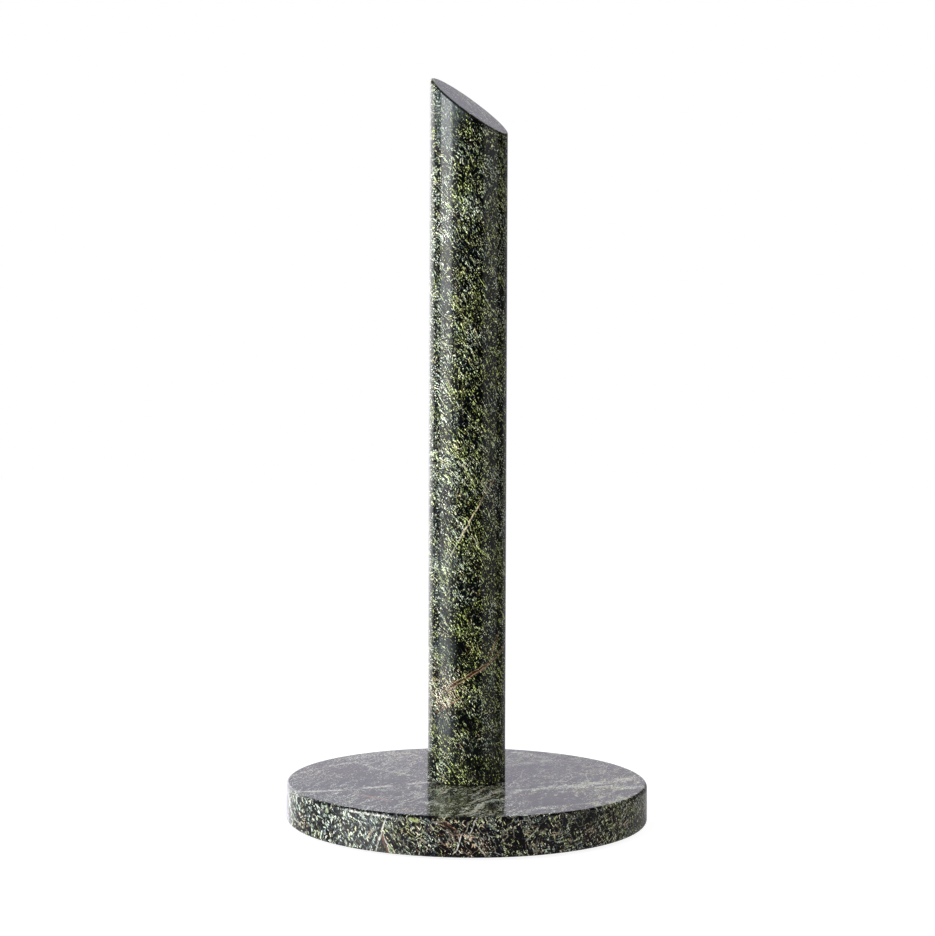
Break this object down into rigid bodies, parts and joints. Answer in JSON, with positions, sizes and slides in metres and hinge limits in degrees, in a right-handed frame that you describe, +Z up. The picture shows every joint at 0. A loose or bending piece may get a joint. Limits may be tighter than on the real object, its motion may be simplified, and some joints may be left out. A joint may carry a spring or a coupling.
{
  "type": "paper towel holder",
  "caption": "Free-standing paper towel holder: a round polished stone post with a slanted top, bolted to a round stone base on rubber feet.",
  "frame": {"origin": "on the worktop, under the middle of the round base", "axes": "+Z up along the post; the slanted top falls towards +X; -Y is the front"},
  "size_m": [0.145, 0.145, 0.3],
  "materials": {
    "base_stone": "polished dark green stone with pale flecks and rust veins",
    "post_stone": "polished dark green stone with yellow-green flecks",
    "zinc_steel": "zinc plated",
    "spring_steel": "oiled spring steel",
    "cured_resin": "cured two-part resin",
    "red_fibre": "vulcanised fibre",
    "foot_rubber": "matte black rubber"
  },
  "bodies": {
    "root": {"base_disc": "base_stone", "post": "post_stone", "stud": "zinc_steel", "resin_sleeve": "cured_resin", "fibre_washer": "red_fibre", "flat_washer": "zinc_steel", "spring_washer": "spring_steel", "hex_nut": "zinc_steel", "foot_front_left": "foot_rubber", "foot_front_right": "foot_rubber", "foot_rear_left": "foot_rubber", "foot_rear_right": "foot_rubber"}
  },
  "joints": []
}
